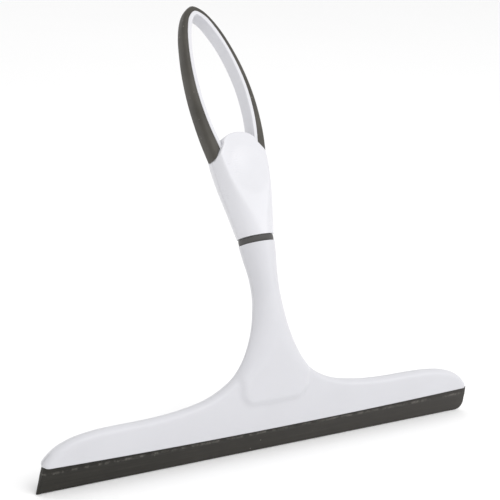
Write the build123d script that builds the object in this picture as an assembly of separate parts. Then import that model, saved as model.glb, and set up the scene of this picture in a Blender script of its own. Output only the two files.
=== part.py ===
"""Window cleaning squeegee: winged head, rubber blade, waisted neck and a handle that opens into a loop.

Millimetres. X runs along the blade, +Z up, and -Y is the side that the thumb and the user are on.
The origin is the middle of the wiping edge. Each part is written to parts/ as its own STEP file.
"""
import os
from math import cos, degrees, radians, sin

from build123d import *

# Head
HEAD_WIDTH = 275.0
BLADE_LENGTH = 280.0
BEAD_LENGTH = 266.0        # the bead is trimmed back where the ends of the wings round off
PLATE_THICKNESS = 8.0
EDGE_RADIUS = 2.6          # rounding of the plate's upper edge
LOWER_EDGE_MIDDLE = 12.8   # height of the white lower edge, which rises a little to each end
LOWER_EDGE_END = 14.6
WALL = 2.0

# Neck: straight up from the plate, then bent back to its lean
BEND_START = 20.0
BEND_RADIUS = 166.3
NECK_LEAN = 28.5
NECK_STRAIGHT = 13.2

# Handle: a bowed line that goes on from the neck
HANDLE_LENGTH = 137.6      # straight from the ring to the top of the loop
HANDLE_BOW = 8.2           # angle between that straight line and the handle's line at each end
RING_THICKNESS = 3.7
RING_RADIUS = 9.5

# Rubber strip
LIP_PIVOT = 8.6            # height of the line about which the lip bends
LIP_ROOT_RADIUS = 1.2
LIP_EDGE_HALF = 0.5
SLOT_PLAY = 0.3            # gap between the strip and its channel
RIDGE_HALF = 2.5           # half depth of the ridge that stands out under the white edge
RIDGE_LOW = 10.1
RIDGE_HIGH = 11.5

# Coupling between neck and handle
SPIGOT_RADIUS = 5.0
SPIGOT_BELOW = 24.0        # length of the spigot in the neck, then in the handle
SPIGOT_ABOVE = 21.0
FIT_GAP = 0.05
CORE_WALL = 1.2            # wall of the core's socket
CORE_FLOOR = 3.0           # wall of the core that the screw passes through
SCREW_RADIUS = 1.5
SCREW_LENGTH = 18.0
SCREW_HEAD_RADIUS = 3.0
SCREW_HEAD_HEIGHT = 2.2

# Hanging loop and thumb dish
LOOP_START = 34.0          # where the loop's band starts inside the covers
LOOP_FOOT_HALF = 5.4       # half depth of the band at its foot and at the top of the loop
LOOP_TOP_HALF = 4.1
COVER_HALF = 10.1          # half depth of the flattened covers at the ring
COVER_TOP_HALF = 4.2       # the same, carried on to the top of the loop
DISH_HALF_WIDTH = 10.5
DISH_HALF_LENGTH = 12.5
DISH_RUN = 38.0            # place of the thumb dish along the handle
DISH_OFFSET = 8.5          # from the handle's centre line to the middle of the ball that cuts the dish
DISH_HALF_DEPTH = 1.5      # half thickness of that flattened ball

CUT = 60.0                 # longer than any wall that is cut through


def prism_y(outline):
    """Solid of a front-view face, run through the whole depth."""
    return extrude(Pos(0, -CUT, 0) * outline, amount=2 * CUT, dir=(0, 1, 0))


def prism_x(outline, half_width=CUT):
    """Solid of a side-view face, run to both sides."""
    return extrude(Pos(-half_width, 0, 0) * outline, amount=2 * half_width, dir=(1, 0, 0))


def mirrored(points):
    """Right-hand points from bottom to top, then the same points on the left from top to bottom."""
    left = [(-x, z) for x, z in reversed(points) if x > 0]
    return list(points) + left


def front_face(points):
    """Front-view face under a smooth symmetric curve, closed by a straight foot."""
    curve = Spline(*mirrored(points))
    return Plane.XZ * make_face(Curve() + [curve, Line(curve @ 1, curve @ 0)])


# ---------------------------------------------------------------- centre lines

def neck_point(run):
    """Side-view point (y, z) and lean of the head's centre line, a given length above the wiping edge."""
    bend = radians(NECK_LEAN)
    if run <= BEND_START:
        return 0.0, run, 0.0
    turned = min((run - BEND_START) / BEND_RADIUS, bend)
    straight = run - BEND_START - turned * BEND_RADIUS
    y = BEND_RADIUS * (1 - cos(turned)) + straight * sin(turned)
    z = BEND_START + BEND_RADIUS * sin(turned) + straight * cos(turned)
    return y, z, degrees(turned)


NECK_RUN = BEND_START + BEND_RADIUS * radians(NECK_LEAN) + NECK_STRAIGHT
RING_Y, RING_Z, _ = neck_point(NECK_RUN)
handle_place = Location((0, RING_Y, RING_Z), (-(NECK_LEAN + HANDLE_BOW), 0, 0))
handle_radius = HANDLE_LENGTH / (2 * sin(radians(HANDLE_BOW)))


def tilted_plane(y, z, lean):
    """Plane across a centre line that leans back by the given angle."""
    return Plane(origin=(0, y, z), x_dir=(1, 0, 0), z_dir=(0, sin(radians(lean)), cos(radians(lean))))


def neck_plane(run):
    return tilted_plane(*neck_point(run))


def handle_plane(run):
    """Plane across the handle's bowed centre line, in the handle's own straight frame."""
    turned = radians(-HANDLE_BOW) + run / handle_radius
    y = handle_radius * (cos(radians(HANDLE_BOW)) - cos(turned))
    z = HANDLE_LENGTH / 2 + handle_radius * sin(turned)
    return tilted_plane(y, z, degrees(turned))


def oval_loft(plane_at, sections):
    """Loft of ovals: each section is its place on the centre line, its half width and its half depth."""
    return loft([plane_at(run) * Ellipse(half_x, half_y) for run, half_x, half_y in sections])


def neck_band(half_depth, low, high):
    """Side-view band of constant depth that follows the neck's centre line."""
    sides, ends = [], []
    turned = (high - BEND_START) / BEND_RADIUS
    for reach in (-half_depth, half_depth):
        radius = BEND_RADIUS - reach
        foot = Line((reach, low), (reach, BEND_START))
        arc = [(BEND_RADIUS - radius * cos(turned * part), BEND_START + radius * sin(turned * part))
               for part in (0, 0.5, 1)]
        sides += [foot, ThreePointArc(*arc)]
        ends.append((foot @ 0, arc[2]))
    closing = [Line(ends[0][0], ends[1][0]), Line(ends[0][1], ends[1][1])]
    return prism_x(Plane.YZ * make_face(Curve() + sides + closing), HEAD_WIDTH)


def handle_band(low, low_half, high_half):
    """Side-view band that follows the handle's bow and thins towards the top of the loop."""
    length = handle_radius * radians(2 * HANDLE_BOW)
    front, back = [], []
    for run in (low, (low + length) / 2, length + 3):
        plane = handle_plane(run)
        half = low_half + (high_half - low_half) * (run - low) / (length - low)
        normal = plane.y_dir
        front.append((plane.origin.Y - normal.Y * half, plane.origin.Z - normal.Z * half))
        back.append((plane.origin.Y + normal.Y * half, plane.origin.Z + normal.Z * half))
    sides = [ThreePointArc(*front), ThreePointArc(*back)]
    ends = [Line(front[0], back[0]), Line(front[-1], back[-1])]
    return prism_x(Plane.YZ * make_face(Curve() + sides + ends))


# ---------------------------------------------------------------- head shells

wing_top = [
    (HEAD_WIDTH / 2, 15.4), (135.4, 18.8), (130.0, 23.4), (121.0, 27.2), (109.0, 29.1), (95.0, 29.6),
    (74.0, 29.9), (56.0, 31.5), (39.2, 35.2), (25.9, 42.2), (18.7, 51.0), (13.7, 61.0), (9.3, 74.0),
]


def plate_face():
    """Front view of both wings and the flare up to the neck."""
    half = HEAD_WIDTH / 2
    right = Spline(*wing_top)
    left = mirror(right, about=Plane.YZ)
    cap = Line(right @ 1, left @ 1)
    low_right = (half, LOWER_EDGE_END)
    low_left = (-half, LOWER_EDGE_END)
    lower = ThreePointArc(low_right, (0, LOWER_EDGE_MIDDLE), low_left)
    ends = [Line(right @ 0, low_right), Line(left @ 0, low_left)]
    return Plane.XZ * make_face(Curve() + [right, left, cap, lower] + ends)


neck_sections = [
    (28.0, 20.0, 4.7), (32.0, 24.5, 5.9), (38.0, 25.0, 6.3), (45.0, 21.5, 6.5), (52.0, 17.6, 6.6),
    (60.0, 14.0, 6.8), (67.0, 11.6, 7.0), (76.0, 9.3, 7.1), (86.0, 7.9, 7.3), (97.0, 8.1, 7.8),
    (106.0, 9.2, 9.0), (NECK_RUN - RING_THICKNESS / 2, 10.0, 9.8),
]


def on_wing_top(edge):
    """True for the long edges that run outwards along the top of either wing, front and back."""
    reach = edge @ 1 - edge @ 0
    beside_neck = abs(edge.center().X) > 5 and edge.center().Z > LOWER_EDGE_END + 0.4
    return beside_neck and edge.length > 3 and abs(reach.normalized().X) > 0.2 and abs(reach.Y) < 5


plate = prism_y(plate_face()) & neck_band(PLATE_THICKNESS / 2, 10.0, wing_top[-1][1] + 2)
plate = fillet(plate.edges().filter_by(on_wing_top), EDGE_RADIUS)
head = plate + oval_loft(neck_plane, neck_sections)

pocket_low = 22.8          # above the solid land over the blade channel
pocket_high = 27.0
pocket_places = [(34.0, 54.0), (56.0, 76.0), (78.0, 98.0), (100.0, 117.0)]
pockets = []
for low_x, high_x in pocket_places:
    for side in (-1, 1):
        place = Pos(side * (low_x + high_x) / 2, 0, (pocket_low + pocket_high) / 2)
        pockets.append(place * Box(high_x - low_x, PLATE_THICKNESS - 2 * WALL, pocket_high - pocket_low))
neck_cavity_sections = [(run, a - WALL - 0.3, b - WALL - 0.1) for run, a, b in neck_sections[1:8]]
neck_cavity_sections.append((NECK_RUN - SPIGOT_BELOW - 7, 5.6, 5.2))
neck_cavity = oval_loft(neck_plane, neck_cavity_sections)
spigot_axis = Location(tilted_plane(RING_Y, RING_Z, NECK_LEAN))
spigot_bore = spigot_axis * Pos(0, 0, -SPIGOT_BELOW / 2) * Cylinder(SPIGOT_RADIUS + FIT_GAP, SPIGOT_BELOW)


def strip_blocks(length, grow=0.0):
    """The strip's shoulder, neck and bead inside the head, or the channel round them when they grow."""
    profile = [(2.2, 11.3, 15.2), (1.1, 15.2, 17.6), (2.4, 17.6, 20.4)]
    return [Pos(0, 0, (low + high) / 2) * Box(length, 2 * (reach + grow), high - low + 2 * grow)
            for reach, low, high in profile]


head = head - neck_cavity - spigot_bore
for void in pockets + strip_blocks(HEAD_WIDTH + 20, SLOT_PLAY):
    head -= void

# The parting surface follows the centre line of the plate and the neck.
parting_runs = [0, BEND_START, 40, 60, 80, NECK_RUN - NECK_STRAIGHT, NECK_RUN + 5]
parting = [(neck_point(run)[0], neck_point(run)[1]) for run in parting_runs]
front_side = make_face(Polyline(parting + [(-CUT, RING_Z + 30), (-CUT, 0)], close=True))
front_zone = prism_x(Plane.YZ * front_side, HEAD_WIDTH)
head_front_shell = head & front_zone
head_rear_shell = head - front_zone

# ---------------------------------------------------------------- rubber strip

shoulder = strip_blocks(BLADE_LENGTH)[0]
held = strip_blocks(BEAD_LENGTH)
ridge = Pos(0, 0, (RIDGE_LOW + RIDGE_HIGH) / 2) * Box(BLADE_LENGTH, 2 * RIDGE_HALF, RIDGE_HIGH - RIDGE_LOW)
blade_strip_body = shoulder + held[1] + held[2] + ridge

lip_side = Polyline(
    (-LIP_EDGE_HALF, 0), (LIP_EDGE_HALF, 0), (LIP_ROOT_RADIUS, LIP_PIVOT), (-LIP_ROOT_RADIUS, LIP_PIVOT),
    close=True,
)
blade_wiping_lip = prism_x(Plane.YZ * make_face(lip_side), BLADE_LENGTH / 2)
lip_root = Rot(0, 90, 0) * Cylinder(LIP_ROOT_RADIUS, BLADE_LENGTH)
blade_wiping_lip += Pos(0, 0, LIP_PIVOT) * lip_root

# ---------------------------------------------------------------- ring, spigot and screw

half_ring = RING_THICKNESS / 2
collar_ring = Cylinder(RING_RADIUS, RING_THICKNESS)
collar_ring = fillet(collar_ring.edges(), 0.5) - Cylinder(SPIGOT_RADIUS + FIT_GAP, 2 * RING_THICKNESS)
collar_ring = spigot_axis * collar_ring

spigot_length = SPIGOT_BELOW + SPIGOT_ABOVE
spigot = Pos(0, 0, (SPIGOT_ABOVE - SPIGOT_BELOW) / 2) * Cylinder(SPIGOT_RADIUS, spigot_length)
spigot = chamfer(spigot.edges(), 0.8)
pilot_depth = SCREW_LENGTH - CORE_FLOOR
spigot -= Pos(0, 0, SPIGOT_ABOVE - pilot_depth / 2) * Cylinder(SCREW_RADIUS, pilot_depth)
hollow_depth = SPIGOT_BELOW - 4
spigot -= Pos(0, 0, -SPIGOT_BELOW + hollow_depth / 2) * Cylinder(SPIGOT_RADIUS - WALL, hollow_depth)
coupling_spigot = spigot_axis * spigot

screw_seat = SPIGOT_ABOVE + CORE_FLOOR
driver_long, driver_wide, driver_deep = 4.2, 0.8, 1.2
screw = Pos(0, 0, screw_seat - SCREW_LENGTH / 2) * Cylinder(SCREW_RADIUS, SCREW_LENGTH)
screw += Pos(0, 0, screw_seat + SCREW_HEAD_HEIGHT / 2) * Cylinder(SCREW_HEAD_RADIUS, SCREW_HEAD_HEIGHT)
driver_cross = Box(driver_long, driver_wide, driver_deep) + Box(driver_wide, driver_long, driver_deep)
screw -= Pos(0, 0, screw_seat + SCREW_HEAD_HEIGHT - 0.4) * driver_cross
spigot_screw = spigot_axis * screw

# ---------------------------------------------------------------- handle, in its own straight frame

grip_outline = [(15.6, 40.0), (17.0, 48.5), (18.4, 58.0), (19.4, 71.0), (19.3, 82.0), (17.9, 96.0),
                (15.7, 108.0), (12.6, 120.0), (8.9, 129.0), (4.9, 134.8), (0, HANDLE_LENGTH)]
frame_outline = [(10.8, 36.0), (12.4, 51.2), (14.2, 60.0), (15.4, 68.0), (16.1, 78.0), (16.0, 88.0),
                 (14.7, 100.0), (12.3, 112.0), (8.9, 123.0), (4.8, 131.0), (0, 134.2)]
hole_outline = [(8.7, 36.0), (10.3, 51.2), (12.0, 60.0), (13.2, 68.0), (13.9, 78.0), (13.8, 88.0),
                (12.5, 100.0), (10.1, 112.0), (6.7, 122.0), (3.4, 128.8), (0, 131.8)]
ARCH_TOP = 59.2            # top of the arched end of the covers, which is the bottom of the loop's hole
ARCH_FOOT = (10.2, 54.0)
SHOULDER = (12.2, 51.3)    # corner where the frame and the grip's slanted end meet
GRIP_TIP = (16.3, 45.6)    # lowest corner of the grip
SLANT_END = (30.0, 26.5)   # the slant of the grip's end, carried on past the handle

outer_solid = prism_y(front_face(grip_outline))
frame_solid = prism_y(front_face(frame_outline))
hole_solid = prism_y(front_face(hole_outline))
loop_band = frame_solid - hole_solid
loop_frame = loop_band & handle_band(LOOP_START, LOOP_FOOT_HALF, LOOP_TOP_HALF)

grip_band = handle_band(LOOP_START, LOOP_FOOT_HALF - 0.4, LOOP_TOP_HALF - 0.2)
slant = [(SLANT_END[0], 0), SLANT_END, GRIP_TIP, SHOULDER]
slanted_cut = Polyline(*mirrored(slant), close=True)
below_grip = prism_y(Plane.XZ * make_face(slanted_cut))
loop_grip = ((outer_solid - frame_solid) & grip_band) - below_grip

# The ovals deepen towards the loop and are cut back to a flatter front and back. That leaves a face on
# each side, which widens from a point at the ring to the full width of the thumb dish.
handle_sections = [
    (RING_THICKNESS / 2 + 0.05, 10.0, 9.8), (8.0, 11.4, 9.9), (15.0, 12.7, 10.5), (28.0, 15.0, 12.3),
    (40.0, 16.4, 14.0), (52.0, 17.4, 14.0), (66.0, 18.6, 13.0),
]
below_ring = -4.0
cover_band = handle_band(below_ring, COVER_HALF, COVER_TOP_HALF)
hollow_band = handle_band(below_ring, COVER_HALF - WALL, COVER_TOP_HALF - WALL)
handle_body = oval_loft(handle_plane, handle_sections) & cover_band
arch = ThreePointArc((-ARCH_FOOT[0], ARCH_FOOT[1]), (0, ARCH_TOP), ARCH_FOOT)
cover_side = Polyline((SLANT_END[0], 0), SLANT_END, GRIP_TIP, SHOULDER, ARCH_FOOT)
cover_sides = [cover_side, mirror(cover_side, about=Plane.YZ)]
cover_foot = Line(cover_sides[0] @ 0, cover_sides[1] @ 0)
cover_zone = prism_y(Plane.XZ * make_face(Curve() + cover_sides + [arch, cover_foot]))
inner_sections = [(run, a - WALL, b - WALL) for run, a, b in handle_sections]
inner_sections[0] = (-1.0, 7.4, 7.4)
handle_hollow = oval_loft(handle_plane, inner_sections) & hollow_band
hollow_top = ARCH_FOOT[1] - 1.5
handle_hollow &= Pos(0, 0, hollow_top / 2) * Box(2 * CUT, 2 * CUT, hollow_top)
frame_seat = loop_band & handle_band(LOOP_START, LOOP_FOOT_HALF + FIT_GAP, LOOP_TOP_HALF)
covers = (handle_body & cover_zone) - handle_hollow - frame_seat

thumb_dish = scale(Sphere(1), by=(DISH_HALF_WIDTH, DISH_HALF_DEPTH, DISH_HALF_LENGTH))
dish_plane = handle_plane(DISH_RUN)
dish_centre = dish_plane.origin - dish_plane.y_dir * DISH_OFFSET
covers -= Location((0, dish_centre.Y, dish_centre.Z)) * thumb_dish

handle_parting = [(handle_plane(run).origin.Y, handle_plane(run).origin.Z) for run in (-6, 35, 75)]
parting_line = ThreePointArc(*handle_parting)
parting_closing = Polyline(handle_parting[-1], (-CUT, 75), (-CUT, -6), handle_parting[0])
front_handle_zone = prism_x(Plane.YZ * make_face(Curve() + [parting_line, parting_closing]))
handle_front_cover = handle_place * (covers & front_handle_zone)
handle_rear_cover = handle_place * (covers - front_handle_zone)

# ---------------------------------------------------------------- core inside the covers

# A socket round the spigot, and a web that stands between the feet of the loop frame.
core_height = screw_seat - half_ring
core = Pos(0, 0, (half_ring + screw_seat) / 2) * Cylinder(SPIGOT_RADIUS + CORE_WALL, core_height)
core -= Pos(0, 0, SPIGOT_ABOVE / 2) * Cylinder(SPIGOT_RADIUS + FIT_GAP, SPIGOT_ABOVE)
core -= Pos(0, 0, screw_seat - CORE_FLOOR) * Cylinder(SCREW_RADIUS + 0.2, 4 * CORE_FLOOR)
core = spigot_axis * core
web_width, web_thickness, web_height = 16.4, 3.0, 26.0
window_width, window_height = 9.0, 14.0
rib_width, rib_height = 3.2, 13.6
web = Pos(0, -3.4, 39) * Box(web_width, web_thickness, web_height)
web -= Pos(0, 0, 40) * Box(window_width, CUT, window_height)
ribs = [Pos(side * 7.6, -2.6, 26.7) * Box(rib_width, web_thickness, rib_height) for side in (-1, 1)]
handle_core = core + handle_place * (web + ribs)
way_height = 10.0          # clear way for the screwdriver, above the screw's seat
driver_way = Cylinder(SCREW_HEAD_RADIUS + 0.4, way_height)
handle_core -= spigot_axis * Pos(0, 0, screw_seat + way_height / 2) * driver_way

parts = {
    "head_front_shell": head_front_shell,
    "head_rear_shell": head_rear_shell,
    "blade_strip_body": blade_strip_body,
    "blade_wiping_lip": blade_wiping_lip,
    "collar_ring": collar_ring,
    "coupling_spigot": coupling_spigot,
    "spigot_screw": spigot_screw,
    "handle_core": handle_core,
    "handle_front_cover": handle_front_cover,
    "handle_rear_cover": handle_rear_cover,
    "loop_frame": handle_place * loop_frame,
    "loop_grip": handle_place * loop_grip,
}

os.makedirs("parts", exist_ok=True)
for name, solid in parts.items():
    export_step(solid, f"parts/{name}.step")
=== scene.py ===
"""Looks of the window cleaning squeegee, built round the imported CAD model.

Metres, in the CAD frame: X along the blade, +Z up, -Y the user's side. Shapes are worked out in millimetres
on two bent middle surfaces, one for the head and its neck and one for the handle, and then scaled.
"""
from math import cos, pi, radians, sin, sqrt

import bmesh
import bpy
import numpy as np
from mathutils import Matrix, Vector
from mathutils.geometry import delaunay_2d_cdt


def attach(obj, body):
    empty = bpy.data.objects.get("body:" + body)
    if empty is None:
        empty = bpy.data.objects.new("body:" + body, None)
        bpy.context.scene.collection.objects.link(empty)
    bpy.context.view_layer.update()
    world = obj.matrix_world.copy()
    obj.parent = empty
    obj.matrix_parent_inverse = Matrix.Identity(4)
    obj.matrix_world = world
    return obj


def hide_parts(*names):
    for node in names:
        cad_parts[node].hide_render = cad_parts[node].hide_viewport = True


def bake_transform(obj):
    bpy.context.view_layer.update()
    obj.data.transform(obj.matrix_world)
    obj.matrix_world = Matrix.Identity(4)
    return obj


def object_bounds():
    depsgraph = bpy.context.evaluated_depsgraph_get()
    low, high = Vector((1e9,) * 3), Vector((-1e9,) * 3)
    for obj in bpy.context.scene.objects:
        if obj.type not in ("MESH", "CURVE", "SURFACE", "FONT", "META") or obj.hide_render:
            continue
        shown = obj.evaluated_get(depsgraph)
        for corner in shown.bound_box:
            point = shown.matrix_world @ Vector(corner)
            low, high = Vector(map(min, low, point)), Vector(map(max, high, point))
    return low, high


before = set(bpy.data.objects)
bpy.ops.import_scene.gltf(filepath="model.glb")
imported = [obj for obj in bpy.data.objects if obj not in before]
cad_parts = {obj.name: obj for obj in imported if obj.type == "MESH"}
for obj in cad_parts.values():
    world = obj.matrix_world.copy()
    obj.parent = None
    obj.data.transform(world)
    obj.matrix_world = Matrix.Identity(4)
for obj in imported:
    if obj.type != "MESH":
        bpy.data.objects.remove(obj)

cad_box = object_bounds()
MM = 0.001

# ------------------------------------------------------------------ shape of the middle surfaces

BEND_START = 20.0
BEND_RADIUS = 166.3
NECK_LEAN = radians(28.5)
NECK_STRAIGHT = 13.2
NECK_RUN = BEND_START + BEND_RADIUS * NECK_LEAN + NECK_STRAIGHT
HANDLE_LENGTH = 137.6
HANDLE_BOW = radians(8.2)
HANDLE_RADIUS = HANDLE_LENGTH / (2 * sin(HANDLE_BOW))
RING_HALF = 1.85


def head_place(x, run, height):
    """Point on the head: across, up along the bent middle surface, and off it to the back."""
    turned = np.clip((run - BEND_START) / BEND_RADIUS, 0, NECK_LEAN)
    below = np.minimum(run, BEND_START)
    straight = np.maximum(run - BEND_START - turned * BEND_RADIUS, 0)
    y = BEND_RADIUS * (1 - np.cos(turned)) + straight * np.sin(turned)
    z = below + BEND_RADIUS * np.sin(turned) + straight * np.cos(turned)
    return np.stack([x, y + height * np.cos(turned), z - height * np.sin(turned)], -1)


RING_CENTRE = head_place(np.array(0.0), np.array(NECK_RUN), np.array(0.0))


def handle_place(x, run, height):
    """Point on the handle: across, up its bowed middle surface from the ring, and off it to the back."""
    turned = NECK_LEAN + run / HANDLE_RADIUS
    y = RING_CENTRE[1] + HANDLE_RADIUS * (cos(NECK_LEAN) - np.cos(turned))
    z = RING_CENTRE[2] + HANDLE_RADIUS * (np.sin(turned) - sin(NECK_LEAN))
    return np.stack([x, y + height * np.cos(turned), z - height * np.sin(turned)], -1)


# ------------------------------------------------------------------ curves and meshes

def curve_through(points, count):
    """Smooth curve through the points, as evenly spaced points."""
    pts = np.array(points, float)
    ends = np.vstack([2 * pts[0] - pts[1], pts, 2 * pts[-1] - pts[-2]])
    dense = []
    for k in range(len(pts) - 1):
        p0, p1, p2, p3 = ends[k:k + 4]
        knots = np.cumsum([0] + [np.linalg.norm(b - a) ** 0.5 for a, b in ((p0, p1), (p1, p2), (p2, p3))])
        t = np.linspace(knots[1], knots[2], 40, endpoint=False)[:, None]
        a1 = (knots[1] - t) / (knots[1] - knots[0]) * p0 + (t - knots[0]) / (knots[1] - knots[0]) * p1
        a2 = (knots[2] - t) / (knots[2] - knots[1]) * p1 + (t - knots[1]) / (knots[2] - knots[1]) * p2
        a3 = (knots[3] - t) / (knots[3] - knots[2]) * p2 + (t - knots[2]) / (knots[3] - knots[2]) * p3
        b1 = (knots[2] - t) / (knots[2] - knots[0]) * a1 + (t - knots[0]) / (knots[2] - knots[0]) * a2
        b2 = (knots[3] - t) / (knots[3] - knots[1]) * a2 + (t - knots[1]) / (knots[3] - knots[1]) * a3
        span = knots[2] - knots[1]
        dense.append((knots[2] - t) / span * b1 + (t - knots[1]) / span * b2)
    dense = np.vstack(dense + [pts[-1:]])
    length = np.concatenate([[0], np.cumsum(np.linalg.norm(np.diff(dense, axis=0), axis=1))])
    at = np.linspace(0, length[-1], count)
    return np.stack([np.interp(at, length, dense[:, k]) for k in range(dense.shape[1])], -1)


def value_along(points):
    """Smooth function through (place, value) points."""
    line = curve_through(points, 400)
    return lambda place: np.interp(place, line[:, 0], line[:, 1])


def smooth_step(value):
    """Smooth rise from 0 to 1 while the value goes from 0 to 1."""
    value = np.clip(value, 0, 1)
    return value * value * (3 - 2 * value)


def round_over(gap, reach):
    """Quarter-round rise, from 0 at an edge to 1 at the given reach from it."""
    return np.sqrt(np.clip(1 - (1 - np.clip(gap / reach, 0, 1)) ** 2, 0, 1))


def distance_to(points, line):
    """Distance of each point from an open line of points."""
    start, end = line[:-1], line[1:]
    along = end - start
    length2 = (along ** 2).sum(1) + 1e-12
    nearest = np.full(len(points), 1e9)
    for a, v, l2 in zip(start, along, length2):
        t = np.clip(((points - a) @ v) / l2, 0, 1)
        gap = np.linalg.norm(points - a - t[:, None] * v, axis=1)
        nearest = np.minimum(nearest, gap)
    return nearest


def inward_rows(line, depths):
    """Copies of a closed outline, each moved inwards by one of the depths, with that depth."""
    ahead, behind = np.roll(line, -1, 0), np.roll(line, 1, 0)
    along = (ahead - behind) / np.linalg.norm(ahead - behind, axis=1)[:, None]
    inward = np.stack([-along[:, 1], along[:, 0]], -1)
    return [(line + inward * depth, depth) for depth in depths]


def fill_flat(outline, depths, spacing):
    """Triangles that fill a closed outline: rows close to its edge, then an even grid."""
    points = [tuple(p) for p in outline]
    for row, depth in inward_rows(outline, depths):
        far = distance_to(row, np.vstack([outline, outline[:1]]))
        points += [tuple(p) for p, gap in zip(row, far) if gap > depth * 0.98]
    low, high = outline.min(0), outline.max(0)
    columns = np.arange(low[0] + spacing / 2, high[0], spacing)
    rows = np.arange(low[1] + spacing / 2, high[1], spacing)
    grid = np.array([(x + (k % 2) * spacing / 2, z) for k, z in enumerate(rows) for x in columns])
    inside = inside_outline(grid, outline)
    grid = grid[inside]
    far = distance_to(grid, np.vstack([outline, outline[:1]]))
    points += [tuple(p) for p, gap in zip(grid, far) if gap > depths[-1] + spacing * 0.5]
    count = len(outline)
    edges = [(k, (k + 1) % count) for k in range(count)]
    flat, _, faces, *_ = delaunay_2d_cdt([Vector(p) for p in points], edges, [], 1, 1e-5)
    return np.array([tuple(v) for v in flat]), faces


def inside_outline(points, outline):
    """True for each point that lies inside the closed outline."""
    inside = np.zeros(len(points), bool)
    x, z = points[:, 0], points[:, 1]
    for (ax, az), (bx, bz) in zip(outline, np.roll(outline, -1, 0)):
        crosses = (az > z) != (bz > z)
        with np.errstate(divide="ignore", invalid="ignore"):
            at = (bx - ax) * (z - az) / (bz - az) + ax
        inside ^= crosses & (x < at)
    return inside


def new_piece(name, verts, faces, material, body, stands_for=(), flat_angle=35.0):
    """Mesh piece from points in millimetres, shaded smooth below the given angle."""
    mesh = bpy.data.meshes.new(name)
    mesh.from_pydata([tuple(float(c) * MM for c in v) for v in verts], [], [tuple(f) for f in faces])
    bm = bmesh.new()
    bm.from_mesh(mesh)
    bmesh.ops.remove_doubles(bm, verts=bm.verts, dist=1e-6)
    bmesh.ops.recalc_face_normals(bm, faces=bm.faces)
    bm.to_mesh(mesh)
    bm.free()
    mesh.shade_smooth()
    mesh.set_sharp_from_angle(angle=radians(flat_angle))
    piece = bpy.data.objects.new(name, mesh)
    bpy.context.scene.collection.objects.link(piece)
    mesh.materials.append(material)
    if body:
        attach(piece, body)
    if stands_for:
        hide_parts(*stands_for)
    return piece


def closed_shell(outer_points, inner_points, flat_faces):
    """Vertices and faces of a shell: outer skin, inner skin and the walls round their common edge."""
    count = len(outer_points)
    faces = [tuple(face) for face in flat_faces]
    uses = {}
    for face in faces:
        for a, b in zip(face, face[1:] + face[:1]):
            uses.setdefault((min(a, b), max(a, b)), []).append((a, b))
    walls = [(b, a, a + count, b + count) for use in uses.values() if len(use) == 1 for a, b in use]
    flipped = [tuple(v + count for v in face[::-1]) for face in faces]
    return np.vstack([outer_points, inner_points]), faces + flipped + walls


def ring_faces(rings, around, close_ends=True):
    """Quads between rings of points, with an end face at each end."""
    faces = []
    for k in range(rings - 1):
        for j in range(around):
            a, b = k * around + j, k * around + (j + 1) % around
            faces.append((a, b, b + around, a + around))
    if close_ends:
        faces.append(tuple(range(around))[::-1])
        faces.append(tuple(range((rings - 1) * around, rings * around)))
    return faces


# ------------------------------------------------------------------ materials

def graph(name):
    """New material, its shader, and a helper that adds linked nodes."""
    material = bpy.data.materials.new(name)
    material.use_nodes = True
    tree = material.node_tree
    shader = tree.nodes["Principled BSDF"]

    def add(kind, inputs=None, **settings):
        node = tree.nodes.new(kind)
        for key, value in settings.items():
            setattr(node, key, value)
        for key, value in (inputs or {}).items():
            if isinstance(value, bpy.types.NodeSocket):
                tree.links.new(value, node.inputs[key])
            else:
                node.inputs[key].default_value = value
        return node

    def link(source, target):
        tree.links.new(source, target)

    return material, shader, add, link


def product(add, first, second):
    """Output of a node that multiplies two values."""
    return add("ShaderNodeMath", {0: first, 1: second}, operation="MULTIPLY").outputs[0]


def dust_specks(add, where, spacing, sizes, clusters, shares):
    """Mask of small round specks that are only there in some patches."""
    dotted = add("ShaderNodeTexVoronoi", {"Vector": where, "Scale": spacing, "Randomness": 1.0})
    speck = add("ShaderNodeMapRange", {"Value": dotted.outputs["Distance"], "From Min": sizes[0],
                                       "From Max": sizes[1]})
    rare = add("ShaderNodeTexNoise", {"Vector": where, "Scale": clusters, "Detail": 1.0})
    chosen = add("ShaderNodeMapRange", {"Value": rare.outputs["Fac"], "From Min": shares[0],
                                        "From Max": shares[1]})
    return product(add, speck.outputs["Result"], chosen.outputs["Result"])


def ramp(add, value, stops):
    """Colour ramp node with (place, colour) stops."""
    node = add("ShaderNodeValToRGB", {"Fac": value})
    while len(node.color_ramp.elements) < len(stops):
        node.color_ramp.elements.new(0.5)
    for element, (place, colour) in zip(node.color_ramp.elements, stops):
        element.position = place
        element.color = (*colour, 1) if len(colour) == 3 else colour
    return node


def grey(value):
    return (value, value, value)


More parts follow.
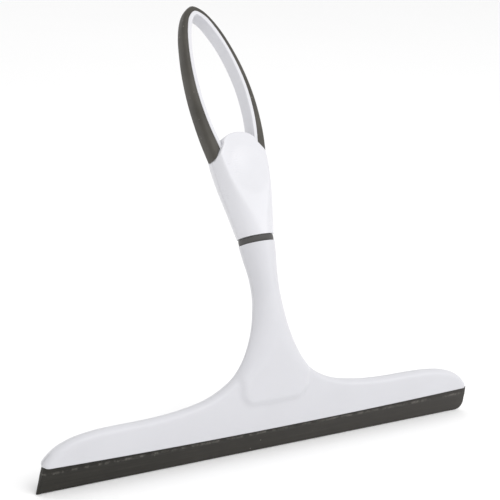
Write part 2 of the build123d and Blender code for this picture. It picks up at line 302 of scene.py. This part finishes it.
def white_plastic(name, tint, roughness):
    """Satin white moulded plastic: faint cloudiness, orange-peel skin and fine handling scratches."""
    material, shader, add, link = graph(name)
    where = add("ShaderNodeTexCoord").outputs["Object"]
    cloud = add("ShaderNodeTexNoise", {"Vector": where, "Scale": 28.0, "Detail": 4.0, "Roughness": 0.55})
    low = tuple(c * 0.965 for c in tint)
    colour = ramp(add, cloud.outputs["Fac"], [(0.3, low), (0.7, tint)])
    link(colour.outputs["Color"], shader.inputs["Base Color"])
    stretch = add("ShaderNodeMapping", {"Vector": where, "Scale": (60.0, 60.0, 900.0)})
    scratch = add("ShaderNodeTexNoise", {"Vector": stretch.outputs["Vector"], "Scale": 5.0, "Detail": 6.0})
    worn = add("ShaderNodeTexNoise", {"Vector": where, "Scale": 90.0, "Detail": 5.0})
    mixed = product(add, scratch.outputs["Fac"], worn.outputs["Fac"])
    rough = add("ShaderNodeMapRange", {"Value": mixed, "From Min": 0.12, "From Max": 0.42,
                                       "To Min": roughness - 0.06, "To Max": roughness + 0.08})
    link(rough.outputs["Result"], shader.inputs["Roughness"])
    peel = add("ShaderNodeTexNoise", {"Vector": where, "Scale": 950.0, "Detail": 2.0})
    bump = add("ShaderNodeBump", {"Height": peel.outputs["Fac"], "Strength": 0.10, "Distance": 0.0001})
    link(bump.outputs["Normal"], shader.inputs["Normal"])
    shader.inputs["Specular IOR Level"].default_value = 0.45
    shader.inputs["Subsurface Weight"].default_value = 0.12
    shader.inputs["Subsurface Radius"].default_value = (0.004, 0.004, 0.0042)
    shader.inputs["Subsurface Scale"].default_value = 0.6
    return material


def dark_rubber():
    """Matt blade rubber: drawn along its length, dusty specks, a scuffed ridge and smudges, with painted
    light that lightens it towards the +X end.
    """
    material, shader, add, link = graph("dark_rubber")
    where = add("ShaderNodeTexCoord").outputs["Object"]
    drawn = add("ShaderNodeMapping", {"Vector": where, "Scale": (12.0, 200.0, 420.0)})
    streak = add("ShaderNodeTexNoise", {"Vector": drawn.outputs["Vector"], "Scale": 3.0, "Detail": 6.0})
    smudge = add("ShaderNodeTexNoise", {"Vector": where, "Scale": 55.0, "Detail": 6.0, "Roughness": 0.65})
    both = product(add, streak.outputs["Fac"], smudge.outputs["Fac"])
    body = ramp(add, both, [(0.12, (0.016, 0.0150, 0.0120)), (0.45, (0.030, 0.0275, 0.0225))])
    parts = add("ShaderNodeSeparateXYZ", {"Vector": where})
    height = parts.outputs["Z"]
    # Painted light: the colour lightens steadily towards the +X end, standing in for the key lamp's light
    # on that side.
    painted_light_ramp = add("ShaderNodeMapRange", {"Value": parts.outputs["X"], "From Min": -0.14, "From Max": 0.14,
                                        "To Min": 0.0, "To Max": 0.30})
    painted_light_body = add("ShaderNodeMix", {"Factor": painted_light_ramp.outputs["Result"], 6: body.outputs["Color"],
                                  7: (0.105, 0.096, 0.090, 1)}, data_type="RGBA")
    ridge = add("ShaderNodeMapRange", {"Value": height, "From Min": 0.0095, "From Max": 0.0106},
                interpolation_type="SMOOTHSTEP")
    above = add("ShaderNodeMapRange", {"Value": height, "From Min": 0.0117, "From Max": 0.0109},
                interpolation_type="SMOOTHSTEP")
    line = product(add, ridge.outputs["Result"], above.outputs["Result"])
    patch = add("ShaderNodeTexNoise", {"Vector": where, "Scale": 260.0, "Detail": 6.0, "Roughness": 0.7})
    rubbed = add("ShaderNodeMapRange", {"Value": patch.outputs["Fac"], "From Min": 0.47, "From Max": 0.80})
    scuff = product(add, line, rubbed.outputs["Result"])
    dust = dust_specks(add, where, 330.0, (0.13, 0.07), 210.0, (0.60, 0.66))
    pale = add("ShaderNodeMath", {0: scuff, 1: dust}, operation="MAXIMUM")
    mix = add("ShaderNodeMix", {"Factor": pale.outputs[0], 6: painted_light_body.outputs[2],
                                7: (0.19, 0.178, 0.160, 1)}, data_type="RGBA")
    link(mix.outputs[2], shader.inputs["Base Color"])
    rough = add("ShaderNodeMapRange", {"Value": smudge.outputs["Fac"], "To Min": 0.44, "To Max": 0.66})
    link(rough.outputs["Result"], shader.inputs["Roughness"])
    grain = add("ShaderNodeTexNoise", {"Vector": where, "Scale": 1500.0, "Detail": 3.0})
    bump = add("ShaderNodeBump", {"Height": grain.outputs["Fac"], "Strength": 0.25, "Distance": 0.0002})
    link(bump.outputs["Normal"], shader.inputs["Normal"])
    shader.inputs["Specular IOR Level"].default_value = 0.25
    return material


def soft_grip(name, dark, light):
    """Soft overmoulded elastomer: fine spark-eroded grain, faint marks and a worn sheen."""
    material, shader, add, link = graph(name)
    where = add("ShaderNodeTexCoord").outputs["Object"]
    cloud = add("ShaderNodeTexNoise", {"Vector": where, "Scale": 45.0, "Detail": 5.0, "Roughness": 0.6})
    colour = ramp(add, cloud.outputs["Fac"], [(0.32, dark), (0.68, light)])
    dust = dust_specks(add, where, 420.0, (0.16, 0.08), 190.0, (0.56, 0.64))
    mix = add("ShaderNodeMix", {"Factor": dust, 6: colour.outputs["Color"],
                                7: (0.24, 0.225, 0.20, 1)}, data_type="RGBA")
    link(mix.outputs[2], shader.inputs["Base Color"])
    worn = add("ShaderNodeTexNoise", {"Vector": where, "Scale": 110.0, "Detail": 6.0})
    rough = add("ShaderNodeMapRange", {"Value": worn.outputs["Fac"], "From Min": 0.3, "From Max": 0.7,
                                       "To Min": 0.48, "To Max": 0.68})
    link(rough.outputs["Result"], shader.inputs["Roughness"])
    grain = add("ShaderNodeTexVoronoi", {"Vector": where, "Scale": 2200.0})
    bump = add("ShaderNodeBump", {"Height": grain.outputs["Distance"], "Strength": 0.35,
                                  "Distance": 0.00012})
    link(bump.outputs["Normal"], shader.inputs["Normal"])
    shader.inputs["Specular IOR Level"].default_value = 0.3
    shader.inputs["Sheen Weight"].default_value = 0.08
    return material


def plated_steel():
    """Zinc-plated screw steel, finely mottled in colour and roughness."""
    material, shader, add, link = graph("plated_steel")
    where = add("ShaderNodeTexCoord").outputs["Object"]
    mottled = add("ShaderNodeTexNoise", {"Vector": where, "Scale": 600.0, "Detail": 4.0})
    colour = ramp(add, mottled.outputs["Fac"], [(0.3, grey(0.48)), (0.7, (0.62, 0.62, 0.65))])
    link(colour.outputs["Color"], shader.inputs["Base Color"])
    rough = add("ShaderNodeMapRange", {"Value": mottled.outputs["Fac"], "To Min": 0.25, "To Max": 0.45})
    link(rough.outputs["Result"], shader.inputs["Roughness"])
    shader.inputs["Metallic"].default_value = 1.0
    return material


shell_white = white_plastic("shell_white", (0.63, 0.63, 0.66), 0.36)
handle_white = white_plastic("handle_white", (0.68, 0.68, 0.71), 0.32)
inner_white = white_plastic("inner_white", (0.70, 0.70, 0.72), 0.45)
rubber = dark_rubber()
grip_rubber = soft_grip("grip_rubber", (0.048, 0.044, 0.037), (0.074, 0.069, 0.059))
ring_rubber = soft_grip("ring_rubber", (0.060, 0.058, 0.056), (0.092, 0.089, 0.085))
steel = plated_steel()

# ------------------------------------------------------------------ head shells

HEAD_HALF = 137.5
LOWER_EDGE_MIDDLE = 12.8
LOWER_EDGE_RISE = 1.8
PLATE_HALF = 4.0
EDGE_REACH = 2.5           # how far in from the outline the plate's rounded edge reaches
PARTING = 0.07             # half the gap at the parting line between the two shells
THINNEST_WALL = 0.3
CHANNEL_HALF = 2.0         # half depth of the blade's channel
CHANNEL_TOP = 20.7
TONGUE_HALF = 21.5
TONGUE_LOW = 28.5
TONGUE_CORNER = 9.0
TONGUE_SOFTNESS = 3.6      # width of the tongue's sloping edge
TONGUE_SPREAD = 9.0        # how much the tongue widens and softens as it runs into the neck
NECK_START = 38.0          # height at which the front starts to change into the neck
TONGUE_RISE = 26.0         # heights over which the tongue opens out, then the edge becomes the neck's round
EDGE_RISE = 32.0
BACK_START = 30.0          # the back has no tongue and thickens evenly from here
BACK_RISE = 34.0
FOOT_EASE = 0.5            # rounding of the white lower edge: its reach and its depth
FOOT_EASE_DEPTH = 0.45
head_side = [
    (HEAD_HALF, 14.6), (137.1, 16.6), (135.0, 19.3), (130.0, 23.4), (121.0, 27.0), (109.0, 29.0),
    (95.0, 29.6), (74.0, 29.9), (56.0, 31.5), (39.2, 35.2), (26.0, 42.4), (18.8, 51.0), (13.9, 61.0),
    (11.3, 68.5), (9.3, 77.0), (7.95, 86.0), (8.1, 97.0), (9.2, 106.0), (10.0, NECK_RUN - RING_HALF),
]
core_depth = value_along([
    (0, 5.5), (30, 5.5), (45, 6.0), (60, 6.7), (76, 7.15), (86, 7.4), (97, 7.9), (106, 9.0),
    (NECK_RUN - RING_HALF, 9.8),
])
flare_side = head_side[8:]     # from where the wings start to rise to the neck
neck_half = value_along([(z, x) for x, z in flare_side])


def lower_edge(x):
    """Height of the white lower edge, a little higher towards each end."""
    return LOWER_EDGE_MIDDLE + LOWER_EDGE_RISE * (x / HEAD_HALF) ** 2


def head_heights(points, upper_line, back):
    """How far the head's surface stands off the middle surface at each point of the front view."""
    x, run = points[:, 0], points[:, 1]
    gap = distance_to(points, upper_line)
    widen = smooth_step((run - NECK_START) / EDGE_RISE)
    reach = EDGE_REACH + widen * (neck_half(run) - EDGE_REACH)
    if back:
        raised = smooth_step((run - BACK_START) / BACK_RISE)
    else:
        opening = smooth_step((run - NECK_START) / TONGUE_RISE)
        side = np.maximum(np.abs(x) - (TONGUE_HALF + TONGUE_SPREAD * opening - TONGUE_CORNER), 0)
        down = np.maximum(TONGUE_LOW + TONGUE_CORNER - run, 0)
        outside = np.hypot(side, down) - TONGUE_CORNER
        softness = TONGUE_SOFTNESS + TONGUE_SPREAD * opening
        raised = smooth_step((0.4 * softness - outside) / softness)
    thick = PLATE_HALF + raised * (core_depth(run) - PLATE_HALF)
    eased = FOOT_EASE_DEPTH * (1 - round_over(run - lower_edge(x), FOOT_EASE))
    return np.maximum(thick * round_over(gap, reach) - eased, PARTING)


def channel_depth(points):
    """Inner wall of the blade's channel, measured off the middle surface."""
    return np.where(points[:, 1] < CHANNEL_TOP, CHANNEL_HALF, PARTING)


def head_shell(name, node, back):
    """One half of the head: outer skin, mating face and its half of the blade channel."""
    upper_right = curve_through(head_side, 300)
    upper_left = np.stack([-upper_right[:, 0], upper_right[:, 1]], -1)
    lower_x = np.linspace(-HEAD_HALF, HEAD_HALF, 240)[1:-1]
    lower = np.stack([lower_x, lower_edge(lower_x)], -1)
    across = np.linspace(upper_right[-1, 0], upper_left[-1, 0], 22)[1:-1]
    top = np.stack([across, np.full(len(across), upper_right[-1, 1])], -1)
    outline = np.vstack([lower, upper_right, top, upper_left[::-1]])
    flat, faces = fill_flat(outline, [0.06, 0.18, 0.38, 0.7, 1.15, 1.75, 2.5, 3.3], 1.5)
    heights = np.minimum(head_heights(flat, upper_right, back), head_heights(flat, upper_left, back))
    inner = np.clip(np.minimum(channel_depth(flat), heights - THINNEST_WALL), PARTING, heights)
    way = 1 if back else -1
    outer_points = head_place(flat[:, 0], flat[:, 1], way * heights)
    inner_points = head_place(flat[:, 0], flat[:, 1], way * inner)
    verts, faces = closed_shell(outer_points, inner_points, faces)
    return new_piece(name, verts, faces, shell_white, "tool", [node], flat_angle=40)


head_shell("head_front", "head_front_shell", back=False)
head_shell("head_rear", "head_rear_shell", back=True)

# ------------------------------------------------------------------ rubber blade

BLADE_HALF = 140.0
RIGHT_END = 138.4          # trimmed flush with the wing
END_ROUND = 5.0
END_BEVEL = 0.3
END_SLANT = 3.4            # lean of the left end, from the wiping edge up to the head
SLANT_HEIGHT = 16.0        # height over which that lean is measured
SLANT_START = -124.0       # the lean comes in gradually from here to the left end
SLANT_LENGTH = 16.0
RIGHT_TIP = 136.0          # past this the wing is too thin to cover the whole shoulder
BEAD_END = 133.0           # past this the strip has only its shoulder inside the head
SHOULDER_HALF = 1.6
SHOULDER_TOP = 15.4
SHOULDER_TOP_RIGHT = 14.3
blade_front = [
    (0.45, 0.0), (0.62, 0.35), (0.80, 2.5), (1.00, 5.0), (1.22, 7.6), (1.40, 9.0), (1.72, 9.7),
    (1.88, 10.3), (1.88, 10.9), (1.72, 11.5), (1.60, 12.0), (1.60, 15.6), (1.0, 15.8), (1.0, 17.5),
    (2.3, 17.7), (2.3, 20.2),
]


def rubber_blade():
    """The whole strip in one mesh: wiping lip, ridge, shoulder, and the bead inside the head."""

    def finer(points):
        out = []
        for (y0, z0), (y1, z1) in zip(points, points[1:]):
            steps = max(1, int(abs(z1 - z0) / 0.45))
            out += [(y0 + (y1 - y0) * k / steps, z0 + (z1 - z0) * k / steps) for k in range(steps)]
        return out + [points[-1]]

    front = finer(blade_front)
    section = [(-y, z) for y, z in front] + [(y, z) for y, z in reversed(front)]
    ends = RIGHT_END - END_ROUND * (1 - np.cos(np.linspace(0, pi / 2, 12)))
    middle = np.linspace(-BLADE_HALF, ends[-1], 170)[:-1]
    stations = [-BLADE_HALF] + list(middle + END_BEVEL) + list(ends[::-1])
    verts = []
    for index, x in enumerate(stations):
        thin = 0.80 if index == 0 else 1.0
        past = max(x - (RIGHT_END - END_ROUND), 0)
        lift = END_ROUND - sqrt(max(END_ROUND ** 2 - past ** 2, 0))
        top = SHOULDER_TOP_RIGHT if x > RIGHT_TIP else SHOULDER_TOP
        for y, z in section:
            height = max(z, lift)
            if abs(x) >= BEAD_END:
                height = min(height, top)
                y = max(-SHOULDER_HALF, min(SHOULDER_HALF, y))
            cut_back = END_SLANT * height / SLANT_HEIGHT * smooth_step((SLANT_START - x) / SLANT_LENGTH)
            verts.append((x + cut_back, y * thin, height))
    faces = ring_faces(len(stations), len(section))
    return new_piece("rubber_blade", verts, faces, rubber, None, (), flat_angle=38)


blade = rubber_blade()
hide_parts("blade_strip_body", "blade_wiping_lip")
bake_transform(blade)

# ------------------------------------------------------------------ ring

def collar_ring():
    """Soft ring between neck and handle, a little crowned, with eased corners."""
    profile = [
        (5.2, -1.75), (8.8, -1.80), (9.25, -1.72), (9.48, -1.45), (9.58, -0.7), (9.60, 0.0),
        (9.58, 0.7), (9.48, 1.45), (9.25, 1.72), (8.8, 1.80), (5.2, 1.75),
    ]
    around = 96
    verts = []
    for radius, rise in profile:
        for k in range(around):
            turn = 2 * pi * k / around
            x, deep = radius * cos(turn), radius * sin(turn)
            y = RING_CENTRE[1] + rise * sin(NECK_LEAN) + deep * cos(NECK_LEAN)
            z = RING_CENTRE[2] + rise * cos(NECK_LEAN) - deep * sin(NECK_LEAN)
            verts.append((x, y, z))
    faces = ring_faces(len(profile), around, close_ends=False)
    last = (len(profile) - 1) * around
    faces += [(last + k, last + (k + 1) % around, (k + 1) % around, k) for k in range(around)]
    stands_for = ["collar_ring"]
    return new_piece("soft_ring", verts, faces, ring_rubber, "tool", stands_for, flat_angle=50)


collar_ring()

# ------------------------------------------------------------------ handle covers

GRIP_TIP = (16.2, 45.6)
SHOULDER = (12.2, 51.3)
ARCH_FOOT = (10.6, 53.6)
ARCH_TOP = 59.2
handle_half = value_along([
    (RING_HALF, 10.3), (8.0, 11.8), (15.0, 13.1), (28.0, 15.4), (40.0, 16.4), (52.0, 16.8), (68.0, 17.2),
])
handle_keel = value_along([      # depth of the rounded body before its face is flattened
    (RING_HALF, 9.8), (8.0, 9.95), (15.0, 10.5), (28.0, 12.3), (40.0, 14.4), (52.0, 14.4), (68.0, 12.0),
])
handle_face = value_along([      # depth of the flattened face
    (RING_HALF, 9.85), (15.0, 9.5), (28.0, 9.1), (40.0, 8.6), (52.0, 7.8), (68.0, 6.4),
])
FACE_SOFTNESS = 0.55       # blending of the flattened face into the rounded body
FACE_CROWN = 0.0035        # how fast the face falls off with the square of the distance from its middle
TOP_EASE = 0.8             # rounding round the top of a cover: its reach and its depth
TOP_EASE_DEPTH = 0.7
DISH_CENTRE = 37.5
DISH_HALF = (12.2, 14.5)
DISH_DEPTH = 1.25


def cover_heights(points, back):
    """How far the handle's skin stands off its middle surface."""
    x, run = points[:, 0], points[:, 1]
    share = np.clip(np.abs(x) / handle_half(run), 0, 1)
    body = handle_keel(run) * np.sqrt(1 - share ** 2)
    crown = handle_face(run) - FACE_CROWN * x ** 2
    gap = np.clip((FACE_SOFTNESS - np.abs(body - crown)) / FACE_SOFTNESS, 0, 1)
    height = np.minimum(body, crown) - gap ** 2 * FACE_SOFTNESS / 4
    if not back:
        off = np.hypot(x / DISH_HALF[0], (run - DISH_CENTRE) / DISH_HALF[1])
        height -= DISH_DEPTH * np.clip(1 - off ** 2, 0, 1) ** 1.6
    return np.maximum(height, PARTING)


def cover_outline():
    """Front view of a cover: sides, slanted shoulders under the grip, and the arch."""
    runs = np.linspace(RING_HALF + 0.05, GRIP_TIP[1], 90)
    side = np.stack([handle_half(runs), runs], -1)
    slant = np.linspace(GRIP_TIP, SHOULDER, 16)[1:]
    flank = np.linspace(SHOULDER, ARCH_FOOT, 8)[1:]
    rise = ARCH_TOP - ARCH_FOOT[1]
    turn = np.linspace(0, pi / 2, 30)[1:]
    arch = np.stack([ARCH_FOOT[0] * np.cos(turn), ARCH_FOOT[1] + rise * np.sin(turn)], -1)
    right = np.vstack([side, slant, flank, arch])
    left = np.stack([-right[:-1, 0], right[:-1, 1]], -1)[::-1]
    across = np.linspace(-side[0, 0], side[0, 0], 24)[1:-1]
    foot = np.stack([across, np.full(len(across), side[0, 1])], -1)
    return np.vstack([right, left, foot])


def handle_cover(name, node, back):
    """One half of the handle's shell: its skin, with an eased edge round the top, and its mating face."""
    outline = cover_outline()
    flat, faces = fill_flat(outline, [0.08, 0.22, 0.45, 0.8, 1.3, 1.9], 0.85)
    heights = cover_heights(flat, back)
    gap = distance_to(flat, np.vstack([outline, outline[:1]]))
    at_top = flat[:, 1] > GRIP_TIP[1] - 0.5
    eased = TOP_EASE_DEPTH * (1 - round_over(gap, TOP_EASE))
    heights = np.where(at_top, np.maximum(heights - eased, PARTING), heights)
    way = 1 if back else -1
    outer_points = handle_place(flat[:, 0], flat[:, 1], way * heights)
    inner_points = handle_place(flat[:, 0], flat[:, 1], way * np.full(len(flat), PARTING))
    verts, faces = closed_shell(outer_points, inner_points, faces)
    return new_piece(name, verts, faces, handle_white, "tool", [node], flat_angle=40)


handle_cover("handle_front", "handle_front_cover", back=False)
handle_cover("handle_rear", "handle_rear_cover", back=True)

# ------------------------------------------------------------------ loop

LOOP_START = 34.0          # height at which the loop's band starts inside the covers, then its height
LOOP_RISE = 107.0
loop_outer = [
    (15.2, 40.0), (16.9, 48.5), (18.4, 58.0), (19.4, 71.0), (19.3, 82.0), (17.9, 96.0),
    (15.7, 108.0), (12.6, 120.0), (8.9, 129.0), (4.9, 134.8), (0, HANDLE_LENGTH),
]
loop_middle = [
    (10.8, 36.0), (12.4, 51.2), (14.2, 60.0), (15.4, 68.0), (16.1, 78.0), (16.0, 88.0),
    (14.7, 100.0), (12.3, 112.0), (8.9, 123.0), (4.8, 131.0), (0, 134.2),
]
loop_inner = [
    (8.7, 36.0), (10.4, 51.2), (12.1, 60.0), (13.3, 68.0), (14.0, 78.0), (13.9, 88.0),
    (12.6, 100.0), (10.2, 112.0), (6.8, 122.0), (3.4, 128.8), (0, 131.8),
]


def whole_loop(right, start, count):
    """Curve up the right limb from a given height, over the top and down the left."""
    points = list(right) + [(-x, z) for x, z in reversed(right[:-1])]
    line = curve_through(points, 1200)
    line = line[line[:, 1] >= start]
    length = np.concatenate([[0], np.cumsum(np.linalg.norm(np.diff(line, axis=0), axis=1))])
    at = np.linspace(0, length[-1], count)
    return np.stack([np.interp(at, length, line[:, 0]), np.interp(at, length, line[:, 1])], -1)


def loop_band(name, node, inner, outer, starts, depths, rounding, material):
    """Band between two loop curves, with rounded corners on its outside or all round."""
    count = 260
    inside, outside = whole_loop(inner, starts[0], count), whole_loop(outer, starts[1], count)
    verts = []
    for a, b in zip(inside, outside):
        thick = np.linalg.norm(b - a)
        run = (a[1] + b[1]) / 2
        half = depths[0] + (depths[1] - depths[0]) * np.clip((run - LOOP_START) / LOOP_RISE, 0, 1)
        for share, height in section_ring(thick, half, *rounding):
            spot = a + (b - a) * share / thick
            verts.append((spot[0], spot[1], height))
    verts = np.array(verts)
    placed = handle_place(verts[:, 0], chord_to_run(verts[:, 1]), verts[:, 2])
    faces = ring_faces(count, len(verts) // count)
    return new_piece(name, placed, faces, material, "tool", [node], flat_angle=50)


def chord_to_run(rise):
    """Length along the bowed line for a height above the ring measured straight up the handle."""
    return HANDLE_RADIUS * (np.arcsin((rise - HANDLE_LENGTH / 2) / HANDLE_RADIUS) + HANDLE_BOW)


def section_ring(thick, half, inner_round, outer_round, crown):
    """Rounded box section: thickness across, depth both ways, and a crowned outer side."""
    ring = []
    steps = 5
    corners = [       # radius, outer or inner side, back or front, and the angle at which its arc starts
        (outer_round, 1, 1, 0), (inner_round, 0, 1, 90),
        (inner_round, 0, -1, 180), (outer_round, 1, -1, 270),
    ]
    for radius, outer, way, start in corners:
        radius = min(radius, thick * 0.49)
        centre = (thick - radius if outer else radius, way * (half - radius))
        for k in range(steps + 1):
            turn = radians(start + 90 * k / steps)
            rise, across = centre[1] + radius * sin(turn), centre[0] + radius * cos(turn)
            swell = crown * (1 - (rise / half) ** 2) * max(across / thick, 0)
            ring.append((across + swell, rise))
    for part in (-0.5, -0.25, 0.0, 0.25, 0.5):
        rise = part * (half - radius) * 1.6
        ring.append((thick + crown * (1 - (rise / half) ** 2), rise))
    return ring


loop_band("loop_liner", "loop_frame", loop_inner, loop_middle, (44.0, 44.0), (5.2, 4.2), (0.5, 0.35, 0.0),
          handle_white)
loop_band("loop_grip_cover", "loop_grip", loop_middle, loop_outer, (SHOULDER[1], GRIP_TIP[1]), (5.0, 4.0),
          (0.2, 2.2, 0.9), grip_rubber)

# ------------------------------------------------------------------ inner parts keep their CAD shape

inner_materials = {"handle_core": inner_white, "coupling_spigot": inner_white, "spigot_screw": steel}
for node, material in inner_materials.items():
    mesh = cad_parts[node].data
    mesh.materials.clear()
    mesh.materials.append(material)

# ------------------------------------------------------------------ floor, light and camera

def studio():
    """Plain pale floor, a bright even surround and two soft round lamps."""
    material, shader, add, link = graph("studio_floor")
    where = add("ShaderNodeTexCoord").outputs["Object"]
    noise = add("ShaderNodeTexNoise", {"Vector": where, "Scale": 3.0, "Detail": 2.0})
    colour = ramp(add, noise.outputs["Fac"], [(0.3, grey(0.975)), (0.7, grey(0.985))])
    link(colour.outputs["Color"], shader.inputs["Base Color"])
    shader.inputs["Roughness"].default_value = 0.9
    mesh = bpy.data.meshes.new("studio_floor")
    reach = 6.0
    low = cad_box[0][2] - 0.0005
    corners = [(-reach, -reach, low), (reach, -reach, low), (reach, reach, low), (-reach, reach, low)]
    mesh.from_pydata(corners, [], [(0, 1, 2, 3)])
    mesh.materials.append(material)
    floor = bpy.data.objects.new("studio_floor", mesh)
    bpy.context.scene.collection.objects.link(floor)

    world = bpy.data.worlds.new("studio")
    bpy.context.scene.world = world
    world.use_nodes = True
    world.node_tree.nodes["Background"].inputs["Color"].default_value = (1.0, 1.0, 1.0, 1)
    world.node_tree.nodes["Background"].inputs["Strength"].default_value = 0.885

    target = Vector((0, 0.03, 0.1))
    lamps = [("key", (0.95, -0.95, 0.9), 0.7, 3.7), ("front", (0.2, -0.95, 1.95), 1.2, 11.3)]
    for name, place, size, power in lamps:
        lamp = bpy.data.lights.new(name, "AREA")
        lamp.shape = "DISK"
        lamp.size = size
        lamp.energy = power
        holder = bpy.data.objects.new(name, lamp)
        holder.location = place
        holder.rotation_euler = (target - Vector(place)).to_track_quat("-Z", "Y").to_euler()
        bpy.context.scene.collection.objects.link(holder)


def photo_camera():
    """Long lens from the user's left, a little above, with the tool tipped slightly in the frame."""
    yaw, pitch, roll = radians(34.60), radians(17.64), radians(4.54)
    distance = 0.8837
    aim = Vector((-0.0216, 0.0, 0.1161))
    ahead = Vector((sin(yaw) * cos(pitch), cos(yaw) * cos(pitch), -sin(pitch)))
    right = Vector((cos(yaw), -sin(yaw), 0.0))
    up = right.cross(ahead)
    turned_right = cos(roll) * right + sin(roll) * up
    turned_up = -sin(roll) * right + cos(roll) * up
    camera = bpy.data.objects.new("camera", bpy.data.cameras.new("camera"))
    camera.data.lens = 122.4
    camera.data.sensor_width = 36.0
    turn = Matrix((turned_right, turned_up, -ahead)).transposed()
    camera.matrix_world = Matrix.Translation(aim - distance * ahead) @ turn.to_4x4()
    bpy.context.scene.collection.objects.link(camera)
    bpy.context.scene.camera = camera


studio()
photo_camera()
bpy.context.scene.view_settings.view_transform = "Standard"
